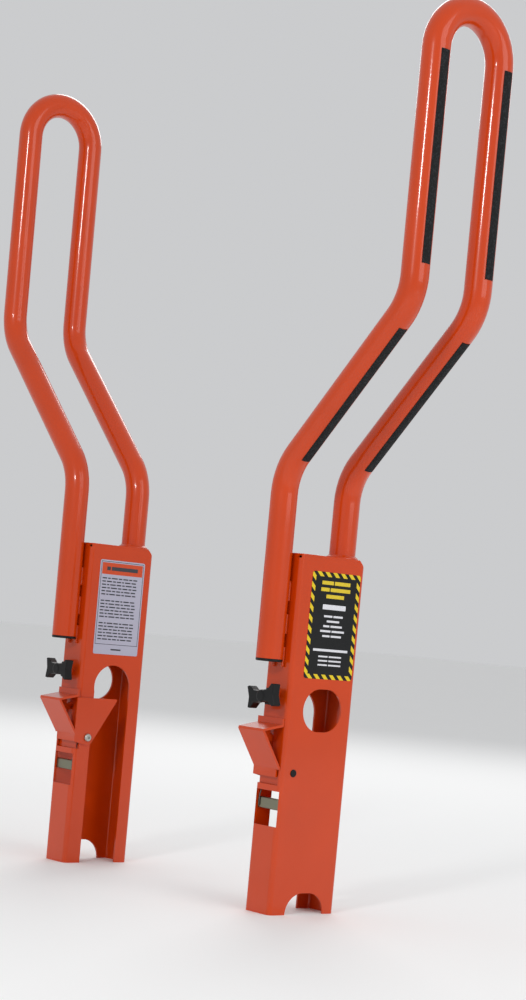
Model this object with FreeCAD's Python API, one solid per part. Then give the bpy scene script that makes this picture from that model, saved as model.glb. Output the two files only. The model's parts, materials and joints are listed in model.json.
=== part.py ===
import FreeCAD, Part
import math
import os
from FreeCAD import Vector as V

# Pair of clamp-on ladder rail extensions (walk-through stabilizer).  Units: mm.
# +X runs across the ladder, +Y away from the climber, +Z up along the rails.
# The origin is midway between the two rails, on the centre line of the top rung.

# ---- driving dimensions ------------------------------------------------------
half_gap = 222.0        # mid plane to the inner wall of a sleeve
sleeve_w = 54.0         # sleeve across the ladder
sleeve_d = 124.0        # sleeve front to back
wall = 3.0              # sheet steel
corner_r = 7.0          # outside bend radius
sleeve_top = 218.0      # top of the lid
sleeve_bottom = -291.0
rung_y = 66.0           # front wall to rung centre line
chamfer = 12.0          # rear top edge
hole_ry = 36.5          # rung end clearance, half width
hole_rz = 30.5          # rung end clearance, half height
arch_r = 35.0           # inner wall arch
arch_z = -8.0
strip_front = 30.0      # inner wall left standing at the front
tube_r = 19.05          # 1.5 inch tube
tube_wall = 2.4
leg_x = 27.0            # leg centre line from the inner wall
front_leg_y = -19.05
rear_leg_y = 101.0
leg_foot = 68.0
bend_low = 331.0
bend_high = 556.0
kick = 219.0            # sideways offset of the upper loop
loop_top = 943.0        # centre line of the loop
bend_r = 80.0
pivot_y = 21.5
pivot_z = -90.0
gap = 0.3               # running gap beside moving plates
pull_x0 = -3.3
pull_x1 = 50.0
strip_low = -97.0        # lower edge of the latch's front strip
relief_low = -108.5      # opening the strip swings into
clamp_z = 15.0
clamp_x = 27.0
stud_r = 5.0
knob_turned = -8.0       # degrees; how the right knob was left
lug_x0 = 24.0
plug_r = 4.6            # hole in the outer wall, closed by a plug
bar_y = 5.2
bar_t = 5.0
bar_z0 = -144.0
bar_z1 = -128.0

os.makedirs("parts", exist_ok=True)


def block(x0, x1, y0, y1, z0, z1):
    return Part.makeBox(x1 - x0, y1 - y0, z1 - z0, V(x0, y0, z0))


def rod(x, y, z, r, length, axis):
    return Part.makeCylinder(r, length, V(x, y, z), axis)


def prism(points, x0, x1):
    wire = Part.makePolygon([V(x0, p[0], p[1]) for p in points + [points[0]]])
    return Part.Face(wire).extrude(V(x1 - x0, 0, 0))


def rounded_post(x0, x1, y0, y1, r, z0, z1):
    body = block(x0, x1, y0, y1, z0, z1)
    edges = [e for e in body.Edges if abs(e.Vertexes[0].Z - e.Vertexes[1].Z) > 1.0]
    return body.makeFillet(r, edges)


def oblong(x, y, z, ry, rz, length):
    reach = ry - rz
    cutter = rod(x, y - reach, z, rz, length, V(1, 0, 0))
    cutter = cutter.fuse(rod(x, y + reach, z, rz, length, V(1, 0, 0)))
    cutter = cutter.fuse(block(x, x + length, y - reach, y + reach, z - rz, z + rz))
    return cutter.removeSplitter()


def hexagon(x, y, z, across, thick, axis):
    r = across / math.sqrt(3.0)
    pts = []
    for k in range(7):
        a = math.radians(60.0 * k)
        if abs(axis.x) > 0.5:
            pts.append(V(x, y + r * math.cos(a), z + r * math.sin(a)))
        else:
            pts.append(V(x + r * math.cos(a), y, z + r * math.sin(a)))
    return Part.Face(Part.makePolygon(pts)).extrude(axis * thick)


# ---- sleeve --------------------------------------------------------------------
def envelope():
    body = rounded_post(0, sleeve_w, 0, sleeve_d, corner_r, sleeve_bottom, sleeve_top)
    far = sleeve_d + 1.0
    low = sleeve_top - chamfer - 1.0
    wedge = prism([(sleeve_d - chamfer - 1.0, sleeve_top + 1.0),
                   (far, sleeve_top + 1.0), (far, low)], -1, sleeve_w + 1)
    return body.cut(wedge)


def lid_blank(drop):
    top = sleeve_top - drop
    run = sleeve_d - chamfer + drop * (1.0 - math.sqrt(2.0))
    low = top - (sleeve_d - run)
    base = sleeve_bottom - 1.0
    return prism([(-1, top), (run, top), (sleeve_d + 1.0, low - 1.0), (sleeve_d + 1.0, base),
                  (-1, base)], -1, sleeve_w + 1)


def make_sleeve():
    outer = envelope().common(lid_blank(wall))
    inner = rounded_post(wall, sleeve_w - wall, wall, sleeve_d - wall, corner_r - wall,
                         sleeve_bottom - 1, sleeve_top + 1)
    body = outer.cut(inner)
    x_out = sleeve_w - wall - 1
    body = body.cut(oblong(x_out, rung_y, 0, hole_ry, hole_rz, wall + 2))
    body = body.cut(oblong(x_out, rung_y, sleeve_bottom, hole_ry, hole_rz, wall + 2))
    body = body.cut(rod(x_out, pivot_y, pivot_z, plug_r, wall + 2, V(1, 0, 0)))
    arch = rod(-1, rung_y - 2, arch_z, arch_r, wall + 2, V(1, 0, 0))
    arch = arch.fuse(block(-1, wall + 1, strip_front, 99.0, sleeve_bottom - 1, arch_z))
    body = body.cut(arch)
    body = body.cut(rod(-1, pivot_y, pivot_z, 4.0, wall + 2, V(1, 0, 0)))
    slot = block(14, 30, -1, wall + 1, -90, -44)
    slot = slot.fuse(rod(22, -1, -44, 8.0, wall + 2, V(0, 1, 0)))
    relief = block(-1, 47, -1, 9.0, relief_low, -79.0)
    window = block(3, 51, -1, wall + 1.5, -167.0, -117.0)
    stud_hole = rod(clamp_x, -1, clamp_z, stud_r + 0.6, wall + 2, V(0, 1, 0))
    body = body.cut(slot).cut(relief).cut(window).cut(stud_hole).cut(corner_notches())
    pocket = block(wall - 0.5, sleeve_w - wall + 0.5, 4.6, 6.6, relief_low - 4.0, -76.0)
    return body.fuse(pocket.cut(relief_side())).removeSplitter()


def relief_side():
    """Space beside the pocket where the latch's pawl swings."""
    return block(-1, wall + 0.3, -1, 9.0, relief_low, -79.0)


def corner_notches():
    notches = [block(u, u + 6.0, -1, 5.0, sleeve_top - 6.0, sleeve_top + 1) for u in (2.0, 46.0)]
    return notches[0].fuse(notches[1])


def make_lid():
    return envelope().cut(lid_blank(wall)).cut(corner_notches())


def make_anchor_bar():
    bar = block(wall, sleeve_w - wall, bar_y, bar_y + bar_t, bar_z0, bar_z1)
    long_edges = [e for e in bar.Edges if e.BoundBox.XLength > 10 and e.BoundBox.YMax < bar_y + 0.1]
    inside = rounded_post(wall, sleeve_w - wall, wall, sleeve_d - wall, corner_r - wall,
                          bar_z0 - 1, bar_z1 + 1)
    return bar.makeFillet(2.2, long_edges).common(inside)


def make_hole_plug():
    dome = rod(sleeve_w, pivot_y, pivot_z, plug_r + 0.8, 1.6, V(1, 0, 0))
    dome = dome.makeFillet(1.2, [e for e in dome.Edges if e.BoundBox.XMin > sleeve_w + 1.5])
    return dome.fuse(rod(sleeve_w - wall - 1.2, pivot_y, pivot_z, plug_r - 0.05, wall + 1.2, V(1, 0, 0)))


# ---- handle --------------------------------------------------------------------
def leg_points(y, foot):
    top = loop_top - (rear_leg_y - front_leg_y) / 2.0
    return [V(leg_x, y, foot), V(leg_x, y, bend_low), V(leg_x + kick, y, bend_high),
            V(leg_x + kick, y, top)]


def corner_arc(a, b, c):
    u = (a - b).normalize()
    w = (c - b).normalize()
    turn = math.pi - math.acos(max(-1.0, min(1.0, u.dot(w))))
    reach = bend_r * math.tan(turn / 2.0)
    start = b + u * reach
    end = b + w * reach
    mid_dir = (u + w).normalize()
    centre = b + mid_dir * (bend_r / math.cos(turn / 2.0))
    mid = centre - mid_dir * bend_r
    return start, mid, end


def leg_edges(y, foot):
    p = leg_points(y, foot)
    s1, m1, e1 = corner_arc(p[0], p[1], p[2])
    s2, m2, e2 = corner_arc(p[1], p[2], p[3])
    return [Part.makeLine(p[0], s1), Part.Arc(s1, m1, e1).toShape(), Part.makeLine(e1, s2),
            Part.Arc(s2, m2, e2).toShape(), Part.makeLine(e2, p[3])]


def loop_arc():
    r = (rear_leg_y - front_leg_y) / 2.0
    mid_y = (rear_leg_y + front_leg_y) / 2.0
    x = leg_x + kick
    return Part.Arc(V(x, front_leg_y, loop_top - r), V(x, mid_y, loop_top),
                    V(x, rear_leg_y, loop_top - r)).toShape()


def swept(radius):
    edges = leg_edges(front_leg_y, leg_foot) + [loop_arc()]
    edges = edges + leg_edges(rear_leg_y, sleeve_top)[::-1]
    wire = Part.Wire(Part.__sortEdges__(edges))
    ring = Part.Wire(Part.makeCircle(radius, V(leg_x, front_leg_y, leg_foot), V(0, 0, 1)))
    return wire.makePipeShell([ring], True, True)


def make_handle():
    return swept(tube_r).cut(swept(tube_r - tube_wall))


def make_foot_cap():
    cap = rod(leg_x, front_leg_y, leg_foot - 4.0, tube_r - 0.05, 4.0, V(0, 0, 1))
    cap = cap.makeFillet(1.5, [cap.Edges[i] for i in range(len(cap.Edges))
                               if cap.Edges[i].BoundBox.ZMax < leg_foot - 3.9])
    plug = rod(leg_x, front_leg_y, leg_foot - 1.0, tube_r - tube_wall, 15.0, V(0, 0, 1))
    core = rod(leg_x, front_leg_y, leg_foot, tube_r - tube_wall - 2.0, 20.0, V(0, 0, 1))
    return cap.fuse(plug).cut(core).removeSplitter()


def make_grip(start, end, outward):
    along = end - start
    length = along.Length
    side = along.normalize()
    half = math.radians(21.8)
    cross = side.cross(outward).normalize()
    r0 = tube_r
    r1 = tube_r + 0.8

    def at(r, a):
        return start + outward * (r * math.cos(a)) + cross * (r * math.sin(a))

    edges = [Part.Arc(at(r0, -half), at(r0, 0), at(r0, half)).toShape(),
             Part.makeLine(at(r0, half), at(r1, half)),
             Part.Arc(at(r1, half), at(r1, 0), at(r1, -half)).toShape(),
             Part.makeLine(at(r1, -half), at(r0, -half))]
    return Part.Face(Part.Wire(edges)).extrude(side * length)


def grip_upper(y):
    x = leg_x + kick
    top = loop_top - (rear_leg_y - front_leg_y) / 2.0
    return make_grip(V(x, y, bend_high + 45.0), V(x, y, top - 5.0), V(1, 0, 0))


def grip_slope(y):
    p = leg_points(y, 0.0)
    u = (p[2] - p[1]).normalize()
    out = V(u.z, 0, -u.x)
    return make_grip(p[1] + u * 36.0, p[2] - u * 36.0, out)


def make_front_welds():
    beads = []
    tube = rod(leg_x, front_leg_y, 0, tube_r, 400, V(0, 0, 1))
    for z in (72.0, 118.0, 164.0):
        for side in (-1, 1):
            bead = rod(leg_x + side * 9.0, -2.4, z, 3.6, 26.0, V(0, 0, 1))
            bead = bead.common(block(0, sleeve_w, -9, 0, 0, 400)).cut(tube)
            beads.append(bead)
    return Part.makeCompound(beads)


def make_rear_weld():
    foot = V(leg_x, rear_leg_y, sleeve_top)
    ring = Part.makeCone(tube_r + 4.5, tube_r, 5.5, foot, V(0, 0, 1))
    skirt = rod(leg_x, rear_leg_y, sleeve_top - chamfer, tube_r + 2.2, chamfer, V(0, 0, 1))
    bead = ring.fuse(skirt).cut(envelope())
    bead = bead.cut(rod(leg_x, rear_leg_y, sleeve_top, tube_r, 20, V(0, 0, 1)))
    bead = bead.common(block(0, sleeve_w, 0, sleeve_d, 100, 400))
    return bead.removeSplitter()


# ---- labels --------------------------------------------------------------------
def make_outer_label():
    return block(sleeve_w, sleeve_w + 0.4, 24, 116, 45, 196)


def make_inner_label():
    return block(-0.4, 0, 20, 108, 44, 194)


# ---- latch ---------------------------------------------------------------------
def make_latch():
    x0 = pull_x0
    x1 = pull_x0 + wall
    front = -gap - wall
    pawl = prism([(front, strip_low), (19.5, -101.8), (31.5, -96.6), (74.0, -30.0),
                  (74.0, -27.0), (front, -27.0)], x0, x1)
    pawl = pawl.fuse(rod(x0, pivot_y, pivot_z, 12.0, wall, V(1, 0, 0)))
    strip = block(x0, 45.0, front, -gap, strip_low, -84.0)
    knee_y = front
    plate = prism([(knee_y, -86.0), (-gap, -86.0), (-gap, -83.0), (-35.2, -31.2),
                   (-38.4, -33.0), (knee_y, -84.6)], x0, pull_x1)
    shelf = prism([(-38.4, -33.0), (-37.6, -29.6), (front, -22.6), (-gap, -22.6),
                   (-gap, -25.6), (-35.2, -32.6)], x0, pull_x1)
    flange = block(x0, pull_x1, front, -gap, -25.0, -14.0)
    lug = prism([(-16.0, -27.5), (-4.0, -25.0), (-4.0, -39.0), (12.0, -39.0), (12.0, -48.0),
                 (-8.0, -48.0), (-16.0, -38.0)], lug_x0, lug_x0 + 3.0)
    body = pawl.fuse(strip).fuse(plate).fuse(shelf).fuse(flange).fuse(lug)
    body = body.removeSplitter()
    body = body.cut(rod(x0 - 1, pivot_y, pivot_z, 5.05, wall + 2, V(1, 0, 0)))
    return body.cut(rod(lug_x0 - 1, 7.0, -43.5, 1.6, 5.0, V(1, 0, 0)))


def make_pivot_bolt():
    seat = pull_x0 - 0.1
    shoulder = rod(seat, pivot_y, pivot_z, 5.0, -seat, V(1, 0, 0))
    shank = rod(-0.5, pivot_y, pivot_z, 4.0, 38.0, V(1, 0, 0))
    head = rod(seat - 4.2, pivot_y, pivot_z, 6.2, 4.2, V(1, 0, 0))
    head = head.makeFillet(2.6, [e for e in head.Edges if e.BoundBox.XMax < seat - 4.0])
    socket = hexagon(seat - 4.3, pivot_y, pivot_z, 4.0, 2.4, V(1, 0, 0))
    return head.cut(socket).fuse(shoulder).fuse(shank).removeSplitter()


def make_spool():
    tube = rod(wall, pivot_y, pivot_z, 6.0, 24.0, V(1, 0, 0))
    return tube.cut(rod(wall - 1, pivot_y, pivot_z, 4.0, 26.0, V(1, 0, 0)))


def make_pivot_nut():
    nut = hexagon(27.0, pivot_y, pivot_z, 13.0, 8.0, V(1, 0, 0))
    dome = Part.makeCone(7.6, 5.2, 8.0, V(27.0, pivot_y, pivot_z), V(1, 0, 0))
    dome = dome.fuse(rod(27.0, pivot_y, pivot_z, 7.6, 5.5, V(1, 0, 0)))
    return nut.common(dome).cut(rod(26, pivot_y, pivot_z, 4.0, 12, V(1, 0, 0)))


def make_return_spring():
    wire_r = 0.9
    coil_r = 7.6
    pitch = 2.6
    turns = 6.0
    x0 = 7.0
    helix = Part.makeHelix(pitch, pitch * turns, coil_r)
    start = V(coil_r, 0, 0)
    ring = Part.Wire(Part.makeCircle(wire_r, start, V(0, 1, 0)))
    coil = Part.Wire(helix).makePipeShell([ring], True, True)
    coil.Placement = FreeCAD.Placement(V(x0, pivot_y, pivot_z),
                                       FreeCAD.Rotation(V(0, 1, 0), 90))
    coil.rotate(V(x0, pivot_y, pivot_z), V(1, 0, 0), 90)
    x1 = x0 + pitch * turns
    tip_y = pivot_y - coil_r

    def wire_path(points):
        shape = None
        for a, b in zip(points[:-1], points[1:]):
            bit = Part.makeCylinder(wire_r, (b - a).Length, a, b - a)
            bit = bit.fuse(Part.makeSphere(wire_r, b))
            shape = bit if shape is None else shape.fuse(bit)
        return shape

    foot_y = bar_y - wire_r - 0.1
    down = wire_path([V(x0, tip_y, pivot_z), V(x0, foot_y, bar_z1 + 2.0), V(x0, foot_y, bar_z0 + 4.0)])
    up = wire_path([V(x1, tip_y, pivot_z), V(x1, 7.0, -43.5), V(lug_x0 + 4.5, 7.0, -43.5)])
    return coil, down, up


def make_spring():
    coil, down, up = make_return_spring()
    return coil.fuse(down).fuse(up)


# ---- clamp ---------------------------------------------------------------------
def make_weld_nut():
    nut = hexagon(clamp_x, 0, clamp_z, 17.0, 8.0, V(0, -1, 0))
    return nut.cut(rod(clamp_x, -9, clamp_z, stud_r + 0.05, 10, V(0, 1, 0)))


def make_stud():
    return rod(clamp_x, -26.0, clamp_z, stud_r, 56.0, V(0, 1, 0))


def make_shoe():
    pad = rod(clamp_x, 26.0, clamp_z, 15.0, 8.0, V(0, 1, 0))
    pad = pad.makeFillet(1.5, [e for e in pad.Edges if e.BoundBox.YMax < 26.1])
    neck = rod(clamp_x, 21.0, clamp_z, 8.0, 6.0, V(0, 1, 0))
    socket = rod(clamp_x, 20.0, clamp_z, stud_r + 0.05, 10.2, V(0, 1, 0))
    return pad.fuse(neck).cut(socket).removeSplitter()


def make_knob(turned):
    """A hub and collar with two wings whose ends are hollowed for finger and thumb."""
    axis = V(0, 1, 0)
    hub = rod(clamp_x, -30.0, clamp_z, 9.0, 19.0, axis)
    hub = hub.makeFillet(3.0, [e for e in hub.Edges if e.BoundBox.YMax < -29.9])
    knob = hub.fuse(rod(clamp_x, -16.0, clamp_z, 11.0, 5.0, axis))
    for side in (-1, 1):
        outline = [(0, -7), (side * 15, -9), (side * 23, -16), (side * 28, -15), (side * 25, 0),
                   (side * 28, 15), (side * 23, 16), (side * 15, 9), (0, 7)]
        corners = [V(clamp_x + x, -29, clamp_z + z) for x, z in outline]
        knob = knob.fuse(Part.Face(Part.makePolygon(corners + [corners[0]])).extrude(V(0, 13, 0)))
    knob = knob.cut(rod(clamp_x, -26.0, clamp_z, stud_r, 20.0, axis)).removeSplitter()
    knob.rotate(V(clamp_x, 0, clamp_z), axis, turned)
    return knob


# ---- place both units ------------------------------------------------------------
def place(shape, side):
    moved = shape.copy()
    moved.translate(V(half_gap, -rung_y, 0))
    if side < 0:
        moved = moved.mirror(V(0, 0, 0), V(1, 0, 0))
    return moved


def unit_pieces(turned):
    return {
        "sleeve": make_sleeve(),
        "sleeve_lid": make_lid(),
        "anchor_bar": make_anchor_bar(),
        "hole_plug": make_hole_plug(),
        "handle_tube": make_handle(),
        "foot_cap": make_foot_cap(),
        "grip_front_upper": grip_upper(front_leg_y),
        "grip_rear_upper": grip_upper(rear_leg_y),
        "grip_front_slope": grip_slope(front_leg_y),
        "grip_rear_slope": grip_slope(rear_leg_y),
        "weld_front_leg": make_front_welds(),
        "weld_rear_leg": make_rear_weld(),
        "label_outer": make_outer_label(),
        "label_inner": make_inner_label(),
        "latch": make_latch(),
        "pivot_bolt": make_pivot_bolt(),
        "spring_spool": make_spool(),
        "pivot_nut": make_pivot_nut(),
        "return_spring": make_spring(),
        "weld_nut": make_weld_nut(),
        "clamp_stud": make_stud(),
        "clamp_shoe": make_shoe(),
        "clamp_knob": make_knob(turned),
    }


for tag, side, turned in (("left", -1, 0.0), ("right", 1, knob_turned)):
    for name, shape in unit_pieces(turned).items():
        place(shape, side).exportStep("parts/" + tag + "_" + name + ".step")
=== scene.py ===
"""Ladder stabilizer: a pair of clamp-on walk-through rail extensions, finished over its CAD frame."""

import json
from collections import namedtuple
from math import cos, pi, radians, sin

import bpy
from mathutils import Matrix, Vector

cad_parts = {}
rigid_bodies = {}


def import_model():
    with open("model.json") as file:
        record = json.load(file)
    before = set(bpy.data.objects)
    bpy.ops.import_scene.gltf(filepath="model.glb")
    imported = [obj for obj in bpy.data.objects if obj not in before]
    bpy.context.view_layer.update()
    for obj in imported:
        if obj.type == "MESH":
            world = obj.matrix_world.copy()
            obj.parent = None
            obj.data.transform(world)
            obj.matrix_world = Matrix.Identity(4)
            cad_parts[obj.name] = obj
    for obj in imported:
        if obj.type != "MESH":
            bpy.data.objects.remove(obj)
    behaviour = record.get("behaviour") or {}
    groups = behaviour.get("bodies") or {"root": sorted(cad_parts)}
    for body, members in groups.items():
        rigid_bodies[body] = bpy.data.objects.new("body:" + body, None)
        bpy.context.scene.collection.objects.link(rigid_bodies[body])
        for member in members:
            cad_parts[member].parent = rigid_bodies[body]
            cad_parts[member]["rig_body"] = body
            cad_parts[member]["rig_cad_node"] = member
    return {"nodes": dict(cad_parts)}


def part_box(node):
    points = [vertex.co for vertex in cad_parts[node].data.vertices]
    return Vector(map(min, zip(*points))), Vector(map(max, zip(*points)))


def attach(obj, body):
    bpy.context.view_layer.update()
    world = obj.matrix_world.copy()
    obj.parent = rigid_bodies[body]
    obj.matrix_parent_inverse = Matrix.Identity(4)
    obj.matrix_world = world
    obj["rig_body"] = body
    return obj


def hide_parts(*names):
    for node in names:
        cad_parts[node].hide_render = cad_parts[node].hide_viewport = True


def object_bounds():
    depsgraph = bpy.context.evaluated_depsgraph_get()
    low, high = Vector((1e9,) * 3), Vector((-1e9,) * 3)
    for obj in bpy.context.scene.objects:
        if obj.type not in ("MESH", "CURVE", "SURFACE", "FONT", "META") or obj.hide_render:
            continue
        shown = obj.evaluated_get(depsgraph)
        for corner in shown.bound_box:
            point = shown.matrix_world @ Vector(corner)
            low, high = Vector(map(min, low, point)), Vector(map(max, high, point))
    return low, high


bl_info = {
    "name": "Ladder Stabilizer",
    "version": (1, 0, 0),
    "blender": (4, 5, 0),
    "location": "3D View > Sidebar > Stabilizer",
    "description": "Finishes the two rail extensions of a ladder stabilizer piece by piece",
    "category": "Object",
}

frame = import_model()
CAD_BOX = [list(corner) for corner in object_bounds()]

MM = 0.001
SIDES = {"left": -1, "right": 1}

# Places and sizes in a unit's own millimetres: u out from the inner wall, y back from the front
# wall, z up from the centre line of the top rung.
LEG_U = 27.0            # both legs of the handle and the clamp stud
TUBE_R = 19.05
REAR_LEG_Y = 101.0
STITCH_Z = (72.0, 118.0, 164.0)
STITCH_LENGTH = 26.0
STITCH_U = 9.5          # from the leg's centre line, where the tube leaves the wall
STITCH_Y = -2.0         # the stitch's centre line, between the wall and the tube
RING_GAP = 1.2          # from the tube's skin to the ring weld's centre line
RING_RISE = 1.0         # of the ring weld's centre line over the lid
ROOT = 0.8              # the thread's root as a share of its crest
COLLAR_R = 11.0         # the knob's round collar
COLLAR_Y = -13.5        # the collar's middle
RIBS = 12
RIB_R = 1.4
RIB_LENGTH = 5.0
KNOB_Z = 15.0
SOFT_EDGE = 0.8         # rounding on the foot caps and the clamp shoes
INK_RISE = 0.08         # how far printed ink stands off the vinyl
INK_CORNER = 0.4
OUTER_CORNER = 4.0      # corner radius of the outer label
INNER_CORNER = 3.0      # and of the inner one

# The studio, in metres.
FLOOR_WIDTH = 60.0
AIR_COLOUR = "#F4F5F7"
AIR_STRENGTH = 0.66
LIT_POINT = (0.0, 0.0, 0.35)
LIGHTS = (              # name, place, width and watts
    ("key_light", (1.5, -3.0, 1.5), 0.35, 24.0),
    ("fill_light", (3.6, 0.4, 1.6), 2.4, 34.0),
    ("back_light", (-2.6, 2.6, 2.8), 2.0, 50.0),
)
CAMERA_PLACE = (2.3909, -1.9476, 0.1145)
CAMERA_RIGHT = (0.64998, 0.75439, 0.09177)
CAMERA_UP = (-0.08808, -0.04516, 0.99509)
CAMERA_LENS = 73.07     # millimetres, on the sensor below
CAMERA_SENSOR = 36.0
CAMERA_SHIFT = 0.2


def linear(code):
    """Turns an sRGB hex colour into the linear values that shaders and properties take."""
    channels = [int(code[i:i + 2], 16) / 255 for i in (1, 3, 5)]
    return [c / 12.92 if c <= 0.04045 else ((c + 0.055) / 1.055) ** 2.4 for c in channels]


def colour_property(name, description, code):
    return bpy.props.FloatVectorProperty(name=name, description=description, subtype="COLOR", size=3,
                                         min=0.0, max=1.0, default=linear(code))


def size_property(name, description, millimetres):
    return bpy.props.FloatProperty(name=name, description=description, subtype="DISTANCE", unit="LENGTH",
                                   min=0.0, default=millimetres * MM)


class StabilizerSizes(bpy.types.PropertyGroup):
    """Sizes of the finishing work, in metres."""

    sheet_edge: size_property("Sheet edge", "Rounding that the coating leaves on cut sheet edges", 0.5)
    latch_edge: size_property("Latch edge", "Rounding of the latch plate's folds and edges", 1.2)
    hardware_edge: size_property("Hardware edge", "Chamfer on bolts, nuts and spools", 0.35)
    bead: size_property("Weld bead", "Radius of one weld ripple", 2.9)
    ripple: size_property("Weld ripple", "Distance between weld ripples", 2.4)
    thread: size_property("Thread pitch", "Pitch of the clamp stud's thread", 1.5)
    knob_grain: size_property("Knob softness", "Detail that the moulded knob keeps", 0.6)
    stripe: size_property("Hazard stripe", "Distance between the label's hazard stripes", 15.0)
    border: size_property("Hazard border", "Width of the label's hazard border", 6.5)
    peel: size_property("Orange peel", "Size of the powder coat's waves", 4.0)
    grit: size_property("Grit", "Size of the grit on the tape", 1.6)


class StabilizerColours(bpy.types.PropertyGroup):
    """Colours of the finishes."""

    powder: colour_property("Powder coat", "Orange coat on the steel", "#CA3E00")
    nylon: colour_property("Nylon", "Black moulded parts", "#08090A")
    tape: colour_property("Grit tape", "Black grip strips", "#121416")
    zinc: colour_property("Bright zinc", "Plated hardware", "#C4C5C4")
    # painted shade: the bar behind the window sits in the shadow inside the sleeve, so it gets a darker copy
    # of the bright zinc
    painted_shade_zinc: colour_property("Shaded zinc", "Bar behind the window", "#8F8D7C")
    spring: colour_property("Spring", "Spring wire", "#6E6B66")
    hazard: colour_property("Hazard yellow", "Yellow ink", "#E3C723")
    vinyl_black: colour_property("Black vinyl", "Ground of the outer label", "#0B0D0F")
    vinyl_white: colour_property("White vinyl", "Ground of the inner label", "#B4B4C6")
    ink_grey: colour_property("Grey ink", "Small print", "#34363E")
    ink_white: colour_property("White ink", "Print on black vinyl", "#E4E4EA")
    ink_orange: colour_property("Orange ink", "Header band", "#D24812")
    floor: colour_property("Floor", "Studio floor", "#FBFBFA")


def sizes():
    return bpy.context.scene.stabilizer_sizes


def colours():
    return bpy.context.scene.stabilizer_colours


# ---- materials


def add_node(tree, kind, inputs, feeds=(), **settings):
    """Adds one node, sets it up, sets or links each input, and links the outputs that it feeds."""
    made = tree.nodes.new(kind)
    for key, value in settings.items():
        setattr(made, key, value)
    for key, value in inputs.items():
        if isinstance(value, bpy.types.NodeSocket):
            tree.links.new(value, made.inputs[key])
        else:
            made.inputs[key].default_value = value
    for key, socket in feeds:
        tree.links.new(made.outputs[key], socket)
    return made


def opaque(colour):
    return (*colour, 1.0)


def new_finish(name, colour, **shader_values):
    """Starts a material and returns it with its tree, its shader and its Object coordinates."""
    made = bpy.data.materials.new(name)
    made.use_nodes = True
    tree = made.node_tree
    shader = tree.nodes["Principled BSDF"]
    shader.inputs["Base Color"].default_value = opaque(colour)
    for key, value in shader_values.items():
        shader.inputs[key.replace("_", " ")].default_value = value
    place = tree.nodes.new("ShaderNodeTexCoord").outputs["Object"]
    return made, tree, shader, place


def coloured_between(tree, shader, factor, dark, light):
    """Lets the colour follow a factor between two shades."""
    # the colour sockets of a Mix node sit after its number and vector sockets
    add_node(tree, "ShaderNodeMix", {"Factor": factor, 6: opaque(dark), 7: opaque(light)},
             [(2, shader.inputs["Base Color"])], data_type="RGBA")


def blotched(tree, shader, place, dark, light, size, detail=3.0):
    """Lets the colour drift between two shades over blotches of a size in metres."""
    noise = add_node(tree, "ShaderNodeTexNoise", {"Vector": place, "Scale": 1 / size, "Detail": detail})
    coloured_between(tree, shader, noise.outputs["Fac"], dark, light)
    return noise


def rough_between(tree, shader, noise, low, high):
    """Lets roughness follow a noise between two values."""
    add_node(tree, "ShaderNodeMapRange", {"Value": noise.outputs["Fac"], "To Min": low, "To Max": high},
             [("Result", shader.inputs["Roughness"])])


def bumped(tree, shader, height, strength, depth):
    """Raises the surface by a height pattern, of a depth in metres at full strength."""
    add_node(tree, "ShaderNodeBump", {"Height": height, "Strength": strength, "Distance": depth},
             [("Normal", shader.inputs["Normal"])])


def shade(colour, factor):
    return [min(1.0, c * factor) for c in colour]


def powder_coated_steel():
    """Steel, electrostatic powder coat: a thick glossy skin with soft waves and bright streaks."""
    orange = colours().powder
    made, tree, shader, place = new_finish("steel_powder_coated_orange", orange, Roughness=0.3,
                                           Specular_IOR_Level=0.2, Coat_Weight=0.6, Coat_Roughness=0.08)
    cloud = blotched(tree, shader, place, shade(orange, 0.88), shade(orange, 1.08), size=90 * MM)
    rough_between(tree, shader, cloud, low=0.24, high=0.36)
    # real orange peel is 1 to 2 mm; it is drawn coarser so that it shows
    peel = add_node(tree, "ShaderNodeTexNoise", {"Vector": place, "Scale": 1 / sizes().peel, "Detail": 2.0})
    bumped(tree, shader, peel.outputs["Fac"], strength=0.12, depth=0.4 * MM)
    return made


def moulded_nylon():
    """Glass-filled nylon, injection moulded: near black, satin, with a faint spark-eroded grain."""
    black = colours().nylon
    made, tree, shader, place = new_finish("nylon_moulded_black", black, Roughness=0.42, IOR=1.53,
                                           Specular_IOR_Level=0.25)
    cloud = blotched(tree, shader, place, shade(black, 0.8), shade(black, 1.5), size=12 * MM)
    rough_between(tree, shader, cloud, low=0.36, high=0.5)
    # spark grain is about 0.2 mm; it is drawn at 0.8 mm so that it shows
    grain = add_node(tree, "ShaderNodeTexNoise",
                     {"Vector": place, "Scale": 1 / (0.8 * MM), "Detail": 2.0})
    bumped(tree, shader, grain.outputs["Fac"], strength=0.25, depth=0.1 * MM)
    return made


def grit_tape():
    """Silicon carbide grit on film, rolled: black and rough, with scattered grains that glint."""
    black = colours().tape
    made, tree, shader, place = new_finish("grit_tape_rolled_black", black, Roughness=0.8,
                                           Specular_IOR_Level=0.3)
    grains = add_node(tree, "ShaderNodeTexVoronoi", {"Vector": place, "Scale": 1 / sizes().grit})
    glint = add_node(tree, "ShaderNodeMapRange", {"Value": grains.outputs["Color"], "From Min": 0.55,
                                                  "From Max": 0.9, "To Min": 0.0, "To Max": 1.0})
    coloured_between(tree, shader, glint.outputs["Result"], shade(black, 0.6), shade(black, 3.2))
    wear = add_node(tree, "ShaderNodeTexNoise", {"Vector": place, "Scale": 1 / (20 * MM), "Detail": 2.0})
    rough_between(tree, shader, wear, low=0.62, high=0.9)
    # the real grit is about 0.5 mm; it is drawn at three times that so that it shows
    bumped(tree, shader, grains.outputs["Distance"], strength=0.9, depth=0.6 * MM)
    return made


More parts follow.
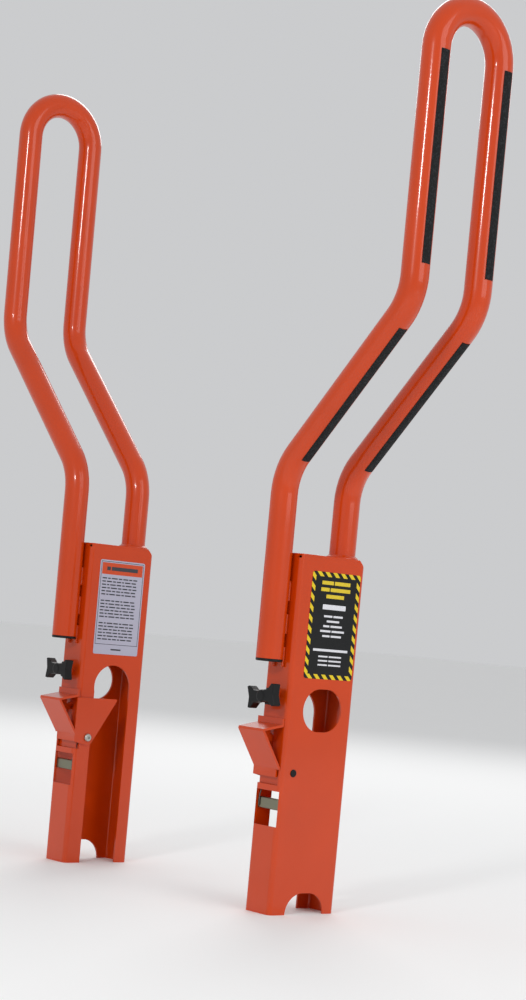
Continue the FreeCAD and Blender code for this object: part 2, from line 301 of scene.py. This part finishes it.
def zinc_plated_steel(name, zinc):
    """Mild steel, zinc plated and passivated: grey metal with a faint blue and straw cast."""
    made, tree, shader, place = new_finish("steel_zinc_plated_" + name, zinc, Metallic=1.0, Roughness=0.34)
    straw = [zinc[0] * 0.95, zinc[1] * 0.9, zinc[2] * 0.74]
    blue = [zinc[0] * 0.86, zinc[1] * 0.92, zinc[2]]
    cloud = blotched(tree, shader, place, straw, blue, size=14 * MM, detail=4.0)
    rough_between(tree, shader, cloud, low=0.24, high=0.46)
    # plating crystals are microscopic; a 1 mm haze stands for them
    haze = add_node(tree, "ShaderNodeTexNoise", {"Vector": place, "Scale": 1 / MM, "Detail": 4.0})
    bumped(tree, shader, haze.outputs["Fac"], strength=0.15, depth=0.1 * MM)
    return made


def drawn_spring_steel():
    """Spring steel wire, drawn and oiled: matt grey with fine streaks."""
    steel = colours().spring
    made, tree, shader, place = new_finish("spring_steel_drawn", steel, Metallic=1.0, Roughness=0.4)
    cloud = blotched(tree, shader, place, shade(steel, 0.7), shade(steel, 1.2), size=4 * MM, detail=4.0)
    rough_between(tree, shader, cloud, low=0.32, high=0.52)
    bumped(tree, shader, cloud.outputs["Fac"], strength=0.2, depth=0.1 * MM)
    return made


def hazard_vinyl():
    """Vinyl film, printed and laminated: black and glossy, with a diagonal hazard border."""
    made, tree, shader, place = new_finish("vinyl_printed_hazard", colours().vinyl_black, Roughness=0.3,
                                           Specular_IOR_Level=0.3, Coat_Weight=0.1, Coat_Roughness=0.08)
    low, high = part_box("right_label_outer")
    middle = (Vector(low) + Vector(high)) / 2
    half = (Vector(high) - Vector(low)) / 2
    centred = add_node(tree, "ShaderNodeMapping", {"Vector": place, "Location": (0, -middle[1], -middle[2])})
    axes = add_node(tree, "ShaderNodeSeparateXYZ", {"Vector": centred.outputs["Vector"]})
    across = axes.outputs["Y"]
    up = axes.outputs["Z"]
    edges = []
    for offset, reach in ((across, half[1]), (up, half[2])):
        away = add_node(tree, "ShaderNodeMath", {0: offset}, operation="ABSOLUTE")
        edges.append(add_node(tree, "ShaderNodeMath",
                              {0: away.outputs[0], 1: reach - sizes().border}, operation="GREATER_THAN"))
    border = add_node(tree, "ShaderNodeMath", {i: edge.outputs[0] for i, edge in enumerate(edges)},
                      operation="MAXIMUM")
    diagonal = add_node(tree, "ShaderNodeMath", {0: across, 1: up}, operation="ADD")
    turns = add_node(tree, "ShaderNodeMath", {0: diagonal.outputs[0], 1: sizes().stripe},
                     operation="DIVIDE")
    phase = add_node(tree, "ShaderNodeMath", {0: turns.outputs[0]}, operation="FRACT")
    stripe = add_node(tree, "ShaderNodeMath", {0: phase.outputs[0], 1: 0.5}, operation="GREATER_THAN")
    yellow = add_node(tree, "ShaderNodeMath", {0: border.outputs[0], 1: stripe.outputs[0]},
                      operation="MULTIPLY")
    coloured_between(tree, shader, yellow.outputs[0], colours().vinyl_black, colours().hazard)
    soft = add_node(tree, "ShaderNodeTexNoise", {"Vector": place, "Scale": 1 / (30 * MM), "Detail": 1.0})
    rough_between(tree, shader, soft, low=0.22, high=0.36)
    bumped(tree, shader, soft.outputs["Fac"], strength=0.1, depth=0.3 * MM)
    return made


def white_vinyl():
    """Vinyl film, plain and laminated: cool white, satin, hardly waved where it lies on the coat."""
    white = colours().vinyl_white
    made, tree, shader, place = new_finish("vinyl_laminated_white", white, Roughness=0.35, Coat_Weight=0.2,
                                           Coat_Roughness=0.15)
    cloud = blotched(tree, shader, place, shade(white, 0.94), white, size=40 * MM)
    rough_between(tree, shader, cloud, low=0.3, high=0.42)
    bumped(tree, shader, cloud.outputs["Fac"], strength=0.1, depth=0.3 * MM)
    return made


def printed_ink(name, colour):
    """Screen ink on vinyl: flat colour that is a little uneven and satin."""
    made, tree, shader, place = new_finish("ink_screened_" + name, colour, Roughness=0.4)
    cloud = blotched(tree, shader, place, shade(colour, 0.86), colour, size=6 * MM, detail=2.0)
    rough_between(tree, shader, cloud, low=0.34, high=0.48)
    return made


def studio_floor():
    """Painted board, rolled: pale and matt, so that it takes a soft shadow."""
    made, tree, shader, place = new_finish("floor_painted_matt", colours().floor, Roughness=0.9)
    blotched(tree, shader, place, shade(colours().floor, 0.985), colours().floor, size=600 * MM)
    return made


FINISHES = {
    "powder": powder_coated_steel,
    "nylon": moulded_nylon,
    "tape": grit_tape,
    "zinc": lambda: zinc_plated_steel("bright", colours().zinc),
    # painted shade: the same zinc, darker, for the bar in the shadow inside the sleeve
    "painted_shade_zinc": lambda: zinc_plated_steel("painted_shade", colours().painted_shade_zinc),
    "spring": drawn_spring_steel,
    "hazard": hazard_vinyl,
    "white": white_vinyl,
    "ink_yellow": lambda: printed_ink("yellow", colours().hazard),
    "ink_white": lambda: printed_ink("white", colours().ink_white),
    "ink_grey": lambda: printed_ink("grey", colours().ink_grey),
    "ink_orange": lambda: printed_ink("orange", colours().ink_orange),
    "floor": studio_floor,
}

made_finishes = {}


def finish(kind):
    """Returns a finish, making its material the first time."""
    if kind not in made_finishes:
        made_finishes[kind] = FINISHES[kind]()
    return made_finishes[kind]


# ---- modelling help


def at(side, u, y, z):
    """Turns a unit's own millimetres into a point of the frame."""
    low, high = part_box(side + "_sleeve")
    inner = low[0] if SIDES[side] > 0 else high[0]
    return Vector((inner + SIDES[side] * u * MM, low[1] + y * MM, z * MM))


def nothing_selected():
    if bpy.context.mode != "OBJECT":
        bpy.ops.object.mode_set(mode="OBJECT")
    bpy.ops.object.select_all(action="DESELECT")


def pick(*pieces):
    """Selects only these pieces, the first one active."""
    nothing_selected()
    for piece in pieces:
        piece.select_set(True)
    bpy.context.view_layer.objects.active = pieces[0]


def settle(piece):
    """Puts a piece's place and turn into its mesh."""
    pick(piece)
    bpy.ops.object.transform_apply(location=True, rotation=True, scale=True)


def joined(pieces):
    pick(*pieces)
    if len(pieces) > 1:
        bpy.ops.object.join()
    return bpy.context.active_object


def copied(piece, shift):
    """Copies a piece with a mesh of its own and moves the copy's mesh."""
    pick(piece)
    bpy.ops.object.duplicate(linked=False)
    copy = bpy.context.active_object
    bpy.ops.object.mode_set(mode="EDIT")
    bpy.ops.mesh.select_all(action="SELECT")
    bpy.ops.transform.translate(value=shift)
    bpy.ops.object.mode_set(mode="OBJECT")
    return copy


def traced(node):
    """Copies a CAD node, merges its loose triangles and joins its flat faces up."""
    pick(frame["nodes"][node])
    bpy.ops.object.duplicate(linked=False)
    copy = bpy.context.active_object
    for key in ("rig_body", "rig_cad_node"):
        del copy[key]
    if copy.data.has_custom_normals:
        bpy.ops.mesh.customdata_custom_splitnormals_clear()
    bpy.ops.object.mode_set(mode="EDIT")
    bpy.ops.mesh.select_all(action="SELECT")
    bpy.ops.mesh.remove_doubles(threshold=0.000005)
    bpy.ops.mesh.dissolve_limited(angle_limit=radians(0.3))
    bpy.ops.object.mode_set(mode="OBJECT")
    return copy


def apply_modifier(piece, kind, **settings):
    """Adds a modifier with its settings and applies it."""
    pick(piece)
    modifier = piece.modifiers.new(kind.lower(), kind)
    for key, value in settings.items():
        setattr(modifier, key, value)
    bpy.ops.object.modifier_apply(modifier=modifier.name)


def eased(piece, width, segments=2):
    """Rounds a piece's sharp edges and leaves its drawn curves alone."""
    apply_modifier(piece, "BEVEL", width=width, segments=segments, limit_method="ANGLE",
                   angle_limit=radians(38), use_clamp_overlap=True, miter_outer="MITER_ARC")


def smoothed(piece, angle=40.0):
    """Shades a piece smooth up to an angle and lets its large faces lead, so that flats stay flat."""
    pick(piece)
    bpy.ops.object.shade_smooth_by_angle(angle=radians(angle))
    apply_modifier(piece, "WEIGHTED_NORMAL", mode="FACE_AREA", weight=100, keep_sharp=True)


def select_edges_along_x(piece):
    """In edit mode, leaves selected only the edges that run across a wall's thickness."""
    bpy.ops.mesh.select_mode(type="EDGE")
    bpy.ops.mesh.select_all(action="DESELECT")
    bpy.ops.object.mode_set(mode="OBJECT")
    points = piece.data.vertices
    for edge in piece.data.edges:
        run = points[edge.vertices[0]].co - points[edge.vertices[1]].co
        edge.select = abs(run.normalized().x) > 0.99
    bpy.ops.object.mode_set(mode="EDIT")


def place_piece(piece, name, node, kind, stands_for=True):
    """Names a finished piece, gives it its finish and lets it ride with its CAD node's body."""
    piece.name = name
    piece.data.name = name
    piece.data.materials.clear()
    piece.data.materials.append(finish(kind))
    for face in piece.data.polygons:
        face.material_index = 0
    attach(piece, frame["nodes"][node]["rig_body"])
    if stands_for:
        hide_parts(node)


def finish_traced(names, kind, width, segments=2):
    """Finishes like pieces of both units from their CAD nodes."""
    for side in SIDES:
        for name in names:
            node = side + "_" + name
            piece = traced(node)
            if width:
                eased(piece, width, segments)
            smoothed(piece)
            place_piece(piece, node + "_finished", node, kind)


# ---- pieces


def weld_bead(points, flatten=1.0, collar=()):
    """Lays overlapping ripples along a line and melts them, with any collar, into one bead."""
    drops = list(collar)
    radius = sizes().bead
    for point in points:
        nothing_selected()
        bpy.ops.mesh.primitive_uv_sphere_add(segments=16, ring_count=10, radius=radius, location=point,
                                             scale=(1.0, 1.0, flatten))
        drops.append(bpy.context.active_object)
    bead = joined(drops)
    settle(bead)
    apply_modifier(bead, "REMESH", mode="VOXEL", voxel_size=radius / 5)
    apply_modifier(bead, "SMOOTH", factor=0.5, iterations=2)
    smoothed(bead, 60.0)
    return bead


def stitch_points(side, u, z):
    count = round(STITCH_LENGTH * MM / sizes().ripple)
    step = STITCH_LENGTH / count
    low = z - STITCH_LENGTH / 2
    return [at(side, u, STITCH_Y, low + step * (i + 0.5)) for i in range(count)]


def ring_points(side):
    radius = TUBE_R + RING_GAP
    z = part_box(side + "_sleeve_lid")[1].z / MM + RING_RISE
    count = round(2 * pi * radius * MM / sizes().ripple)
    turns = [2 * pi * i / count for i in range(count)]
    return [at(side, LEG_U + radius * cos(a), REAR_LEG_Y + radius * sin(a), z) for a in turns]


def stud_thread():
    """Builds the clamp stud of the right unit: a rod whose skin goes in and out at each thread."""
    nothing_selected()
    pitch = sizes().thread
    low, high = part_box("right_clamp_stud")
    middle = (low + high) / 2
    crest = (high.z - low.z) / 2
    bpy.ops.mesh.primitive_circle_add(vertices=24, radius=crest * ROOT, fill_type="NGON",
                                      location=(middle.x, low.y, middle.z), rotation=(radians(90), 0, 0))
    stud = bpy.context.active_object
    settle(stud)
    bpy.ops.object.mode_set(mode="EDIT")
    bpy.ops.mesh.select_all(action="SELECT")
    for turn in range(int((high.y - low.y) / pitch)):
        for factor in (1 / ROOT, ROOT):
            bpy.ops.mesh.extrude_region_move(TRANSFORM_OT_translate={"value": (0, pitch / 2, 0)})
            bpy.ops.transform.resize(value=(factor, 1.0, factor))
    bpy.ops.mesh.select_all(action="SELECT")
    bpy.ops.mesh.normals_make_consistent(inside=False)
    bpy.ops.object.mode_set(mode="OBJECT")
    return stud


def knob_finished(side):
    """Melts a moulded knob out of its CAD shape, with ribs round its collar."""
    node = side + "_clamp_knob"
    parts = [traced(node)]
    for rib in range(RIBS):
        nothing_selected()
        angle = 2 * pi * (rib + 0.5) / RIBS
        place = at(side, LEG_U + COLLAR_R * cos(angle), COLLAR_Y, KNOB_Z + COLLAR_R * sin(angle))
        bpy.ops.mesh.primitive_cylinder_add(vertices=16, radius=RIB_R * MM, depth=RIB_LENGTH * MM,
                                            location=place, rotation=(radians(90), 0, 0))
        parts.append(bpy.context.active_object)
    knob = joined(parts)
    settle(knob)
    apply_modifier(knob, "REMESH", mode="VOXEL", voxel_size=sizes().knob_grain)
    apply_modifier(knob, "SMOOTH", factor=0.5, iterations=5)
    smoothed(knob, 60.0)
    return knob


Paper = namedtuple("Paper", "side out face front middle top")


def paper_of(side, node, out):
    """Finds a label's printed face in its unit's millimetres; out is 1 on the outer wall, else -1."""
    low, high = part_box(node)
    home = at(side, 0.0, 0.0, 0.0)
    reach = [(x - home.x) * SIDES[side] / MM for x in (low.x, high.x)]
    face = max(reach) if out > 0 else min(reach)
    front = (low.y - home.y) / MM
    middle = ((low.y + high.y) / 2 - home.y) / MM
    return Paper(side, out, face, front, middle, high.z / MM)


def printed_row(paper, down, height, dashes, gap=2.0, indent=None, layer=0):
    """Prints one row of plain dashes below a label's top, centred or indented from its front edge.

    Layer 1 lies on ink that is already there."""
    total = sum(dashes) + gap * (len(dashes) - 1)
    y = paper.middle - total / 2 if indent is None else paper.front + indent
    u = paper.face + paper.out * layer * INK_RISE
    blocks = []
    for length in dashes:
        nothing_selected()
        place = at(paper.side, u, y + length / 2, paper.top - down)
        bpy.ops.mesh.primitive_cube_add(size=1.0, location=place,
                                        scale=(INK_RISE * 2 * MM, length * MM, height * MM))
        blocks.append(bpy.context.active_object)
        y += length + gap
    return blocks


def ink_from(blocks):
    """Joins printed blocks and rounds their corners as screened ink has them."""
    ink = joined(blocks)
    settle(ink)
    bpy.ops.object.mode_set(mode="EDIT")
    select_edges_along_x(ink)
    bpy.ops.mesh.bevel(offset=INK_CORNER * MM, segments=2, affect="EDGES")
    bpy.ops.object.mode_set(mode="OBJECT")
    return ink


def label_plate(node, kind, corner):
    """Finishes a label's film with rounded corners."""
    plate = traced(node)
    bpy.ops.object.mode_set(mode="EDIT")
    select_edges_along_x(plate)
    bpy.ops.mesh.bevel(offset=corner * MM, segments=5, affect="EDGES")
    bpy.ops.object.mode_set(mode="OBJECT")
    smoothed(plate)
    place_piece(plate, node + "_finished", node, kind)


TITLE_HEIGHT = 5.2
TITLE_ROWS = ((22, 30), (16, 38), (34,))
NOTE_ROWS = ((16, 18), (24,), (12, 22), (20, 24), (14, 20))


def outer_label(side):
    """Finishes the black label: three title rows, a badge, five short rows and the foot rows."""
    node = side + "_label_outer"
    label_plate(node, "hazard", OUTER_CORNER)
    paper = paper_of(side, node, 1)
    title = []
    for i, dashes in enumerate(TITLE_ROWS):
        title += printed_row(paper, 15.0 + 9.5 * i, TITLE_HEIGHT, dashes)
    place_piece(ink_from(title), side + "_label_outer_title", node, "ink_yellow", stands_for=False)
    badge = printed_row(paper, 49.0, 7.0, (44,))
    notes = []
    for i, dashes in enumerate(NOTE_ROWS):
        notes += printed_row(paper, 62.0 + 7.0 * i, 2.8, dashes)
    rule = printed_row(paper, 110.0, 3.4, (66,))
    foot = []
    for i in range(3):
        foot += printed_row(paper, 119.0 + 6.0 * i, 2.2, (18, 24))
    print_blocks = badge + notes + rule + foot
    place_piece(ink_from(print_blocks), side + "_label_outer_print", node, "ink_white", stands_for=False)


WORDS = (9, 5, 12, 7, 10, 6, 8, 4, 11)
WORD_GAP = 2.0
ROWS = 20
PARAGRAPH = 7           # rows to a paragraph, the last of them blank
ROW_PITCH = 5.1
ROW_WIDTH = 76.0
FRAME_LINE = 0.8
FRAME_WIDTH = 84.0
FRAME_TOP = 2.5
FRAME_HEIGHT = 132.0


def row_of_words(row):
    """Takes seven words for a row, starting at another one each time, and drops what doesn't fit."""
    dashes = [WORDS[(row * 3 + i) % len(WORDS)] for i in range(7)]
    while sum(dashes) + WORD_GAP * (len(dashes) - 1) > ROW_WIDTH:
        dashes.pop()
    return dashes


def inner_label(side):
    """Finishes the white label: a framed panel with an orange header and rows of small print."""
    node = side + "_label_inner"
    label_plate(node, "white", INNER_CORNER)
    paper = paper_of(side, node, -1)
    header = printed_row(paper, 13.5, 18.5, (80,))
    place_piece(ink_from(header), side + "_label_inner_header", node, "ink_orange", stands_for=False)
    grey = printed_row(paper, 13.5, 6.0, (7, 52), layer=1)
    grey += printed_row(paper, FRAME_TOP, FRAME_LINE, (FRAME_WIDTH,))
    grey += printed_row(paper, 134.0, FRAME_LINE, (FRAME_WIDTH,))
    for indent in (2.0, 85.2):
        grey += printed_row(paper, FRAME_TOP + FRAME_HEIGHT / 2, FRAME_HEIGHT, (FRAME_LINE,),
                            indent=indent)
    for row in range(ROWS):
        if row % PARAGRAPH < PARAGRAPH - 1:
            grey += printed_row(paper, 29.0 + ROW_PITCH * row, 2.0, row_of_words(row), WORD_GAP, indent=6.0)
    grey += printed_row(paper, 142.0, 2.4, (20,))
    place_piece(ink_from(grey), side + "_label_inner_print", node, "ink_grey", stands_for=False)


# ---- operators


class STABILIZER_OT_sleeves(bpy.types.Operator):
    """Finish the rail sleeves with their lids, their hole plugs and the bars behind their windows"""

    bl_idname = "stabilizer.sleeves"
    bl_label = "Sleeves"

    def execute(self, context):
        finish_traced(("sleeve", "sleeve_lid"), "powder", sizes().sheet_edge)
        # the bar behind the window takes the darker zinc, painted shade for the shadow inside the sleeve
        finish_traced(("anchor_bar",), "painted_shade_zinc", sizes().hardware_edge)
        finish_traced(("hole_plug",), "nylon", sizes().hardware_edge)
        return {"FINISHED"}


class STABILIZER_OT_handles(bpy.types.Operator):
    """Finish the hairpin handle tubes and the plugs in their front legs"""

    bl_idname = "stabilizer.handles"
    bl_label = "Handles"

    def execute(self, context):
        finish_traced(("handle_tube",), "powder", 0.0)
        finish_traced(("foot_cap",), "nylon", SOFT_EDGE * MM, 3)
        return {"FINISHED"}


class STABILIZER_OT_grips(bpy.types.Operator):
    """Finish the grit tape strips on the handles"""

    bl_idname = "stabilizer.grips"
    bl_label = "Grip Strips"

    def execute(self, context):
        names = ["grip_" + leg + "_" + run for leg in ("front", "rear") for run in ("upper", "slope")]
        finish_traced(names, "tape", 0.0)
        return {"FINISHED"}


class STABILIZER_OT_welds(bpy.types.Operator):
    """Lay the stitch welds of the front legs and the ring welds of the rear legs"""

    bl_idname = "stabilizer.welds"
    bl_label = "Welds"

    def execute(self, context):
        first = weld_bead(stitch_points("right", LEG_U + STITCH_U, STITCH_Z[0]))
        home = at("right", LEG_U + STITCH_U, 0.0, STITCH_Z[0])
        for side in SIDES:
            beads = [copied(first, at(side, LEG_U + hand * STITCH_U, 0.0, z) - home)
                     for hand in (-1, 1) for z in STITCH_Z]
            node = side + "_weld_front_leg"
            place_piece(joined(beads), node + "_beads", node, "powder")
        ring = weld_bead(ring_points("right"), 0.8, [traced("right_weld_rear_leg")])
        home = at("right", LEG_U, 0.0, 0.0)
        for side in SIDES:
            node = side + "_weld_rear_leg"
            bead = copied(ring, at(side, LEG_U, 0.0, 0.0) - home)
            place_piece(bead, node + "_bead", node, "powder")
        pick(first, ring)
        bpy.ops.object.delete()
        return {"FINISHED"}


class STABILIZER_OT_labels(bpy.types.Operator):
    """Finish the outer and inner labels with plain printed rows"""

    bl_idname = "stabilizer.labels"
    bl_label = "Labels"

    def execute(self, context):
        for side in SIDES:
            outer_label(side)
            inner_label(side)
        return {"FINISHED"}


class STABILIZER_OT_latches(bpy.types.Operator):
    """Finish the folded latch plates"""

    bl_idname = "stabilizer.latches"
    bl_label = "Latches"

    def execute(self, context):
        finish_traced(("latch",), "powder", sizes().latch_edge, 3)
        return {"FINISHED"}


class STABILIZER_OT_pivots(bpy.types.Operator):
    """Finish the pivot bolts, spools, nuts and return springs of the latches"""

    bl_idname = "stabilizer.pivots"
    bl_label = "Latch Pivots"

    def execute(self, context):
        finish_traced(("pivot_bolt", "spring_spool", "pivot_nut"), "zinc", sizes().hardware_edge)
        finish_traced(("return_spring",), "spring", 0.0)
        return {"FINISHED"}


class STABILIZER_OT_clamps(bpy.types.Operator):
    """Finish the clamp screws: weld nuts, threaded studs, shoes and wing knobs"""

    bl_idname = "stabilizer.clamps"
    bl_label = "Clamp Screws"

    def execute(self, context):
        finish_traced(("weld_nut",), "powder", sizes().hardware_edge)
        finish_traced(("clamp_shoe",), "zinc", SOFT_EDGE * MM)
        thread = stud_thread()
        home = at("right", LEG_U, 0.0, 0.0)
        for side in SIDES:
            node = side + "_clamp_stud"
            stud = copied(thread, at(side, LEG_U, 0.0, 0.0) - home)
            place_piece(stud, node + "_threaded", node, "zinc")
            node = side + "_clamp_knob"
            place_piece(knob_finished(side), node + "_moulded", node, "nylon")
        pick(thread)
        bpy.ops.object.delete()
        return {"FINISHED"}


def soft_light(name, place, width, watts):
    """Hangs one square soft light and turns it to the object."""
    nothing_selected()
    bpy.ops.object.light_add(type="AREA", location=place)
    light = bpy.context.active_object
    light.name = name
    light.rotation_euler = (Vector(LIT_POINT) - Vector(place)).to_track_quat("-Z", "Y").to_euler()
    light.data.shape = "SQUARE"
    light.data.size = width
    light.data.energy = watts


class STABILIZER_OT_stage(bpy.types.Operator):
    """Set the pale floor, the soft lights and the camera"""

    bl_idname = "stabilizer.stage"
    bl_label = "Stage"

    def execute(self, context):
        nothing_selected()
        bpy.ops.mesh.primitive_plane_add(size=FLOOR_WIDTH, location=(0.0, 0.0, CAD_BOX[0][2]))
        floor = context.active_object
        floor.name = "studio_floor"
        floor.data.materials.append(finish("floor"))
        for light in LIGHTS:
            soft_light(*light)
        world = bpy.data.worlds.new("studio_air")
        world.use_nodes = True
        air = world.node_tree.nodes["Background"]
        air.inputs["Color"].default_value = opaque(linear(AIR_COLOUR))
        air.inputs["Strength"].default_value = AIR_STRENGTH
        context.scene.world = world
        context.scene.view_settings.view_transform = "Standard"
        bpy.ops.object.camera_add(location=CAMERA_PLACE)
        camera = context.active_object
        right = Vector(CAMERA_RIGHT)
        up = Vector(CAMERA_UP)
        turn = Matrix((right, up, right.cross(up))).transposed()
        camera.rotation_euler = turn.to_euler()
        camera.data.lens = CAMERA_LENS
        camera.data.sensor_width = CAMERA_SENSOR
        camera.data.shift_y = CAMERA_SHIFT
        context.scene.camera = camera
        return {"FINISHED"}


STEPS = (
    STABILIZER_OT_sleeves,
    STABILIZER_OT_handles,
    STABILIZER_OT_grips,
    STABILIZER_OT_welds,
    STABILIZER_OT_labels,
    STABILIZER_OT_latches,
    STABILIZER_OT_pivots,
    STABILIZER_OT_clamps,
    STABILIZER_OT_stage,
)


class STABILIZER_PT_steps(bpy.types.Panel):
    """Lists the steps, sizes and colours"""

    bl_label = "Ladder Stabilizer"
    bl_idname = "STABILIZER_PT_steps"
    bl_space_type = "VIEW_3D"
    bl_region_type = "UI"
    bl_category = "Stabilizer"

    def draw(self, context):
        for step in STEPS:
            self.layout.operator(step.bl_idname)
        for group in (context.scene.stabilizer_sizes, context.scene.stabilizer_colours):
            for key in group.__annotations__:
                self.layout.prop(group, key)


CLASSES = (StabilizerSizes, StabilizerColours, *STEPS, STABILIZER_PT_steps)


def register():
    for made in CLASSES:
        bpy.utils.register_class(made)
    bpy.types.Scene.stabilizer_sizes = bpy.props.PointerProperty(type=StabilizerSizes)
    bpy.types.Scene.stabilizer_colours = bpy.props.PointerProperty(type=StabilizerColours)


def unregister():
    del bpy.types.Scene.stabilizer_colours
    del bpy.types.Scene.stabilizer_sizes
    for made in reversed(CLASSES):
        bpy.utils.unregister_class(made)


def main():
    register()
    for step in STEPS:
        getattr(bpy.ops.stabilizer, step.bl_idname.split(".")[1])()


if __name__ == "__main__":
    main()
